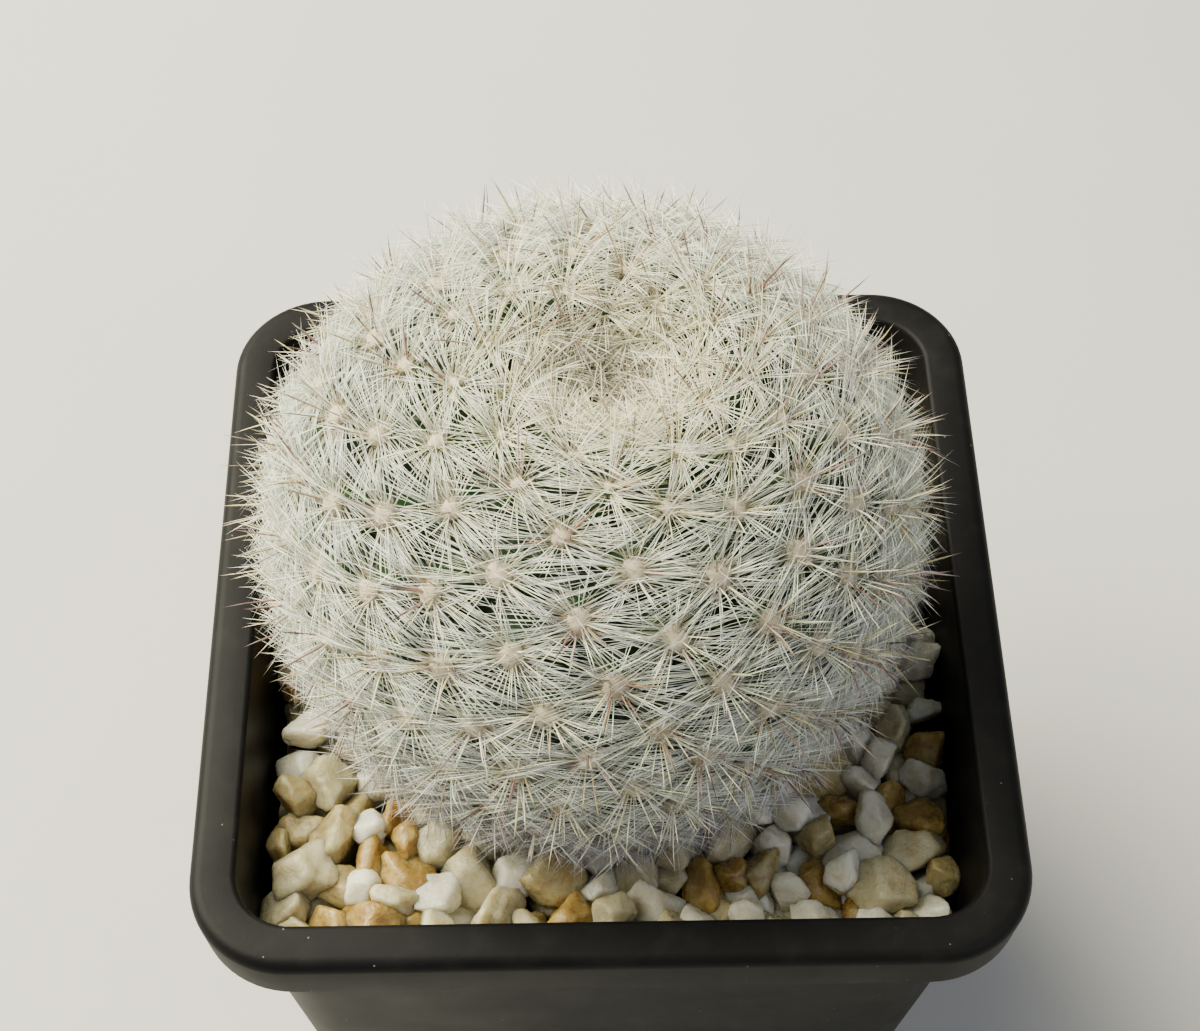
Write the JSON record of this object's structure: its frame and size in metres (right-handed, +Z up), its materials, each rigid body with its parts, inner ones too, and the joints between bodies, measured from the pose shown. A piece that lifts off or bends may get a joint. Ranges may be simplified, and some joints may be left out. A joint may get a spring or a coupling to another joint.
{
  "type": "potted snowball cactus",
  "caption": "Square plastic nursery pot holding a globular cactus closely covered in white star-like spines, rooted in potting mix under a top dressing of quartz grit.",
  "frame": {"origin": "centre of the pot's underside, on the surface that it stands on", "axes": "+Z up, +X to the right and -Y towards the side of the pot that the picture shows nearest"},
  "size_m": [0.07, 0.07, 0.1022],
  "materials": {
    "pot_plastic": "satin",
    "potting_mix": "matte",
    "quartz_grit": "satin",
    "cactus_skin": "satin",
    "spines": "satin",
    "areole_wool": "matte"
  },
  "bodies": {
    "root": {"pot": "pot_plastic", "soil": "potting_mix", "grit": "quartz_grit", "cactus": "cactus_skin"}
  },
  "joints": []
}
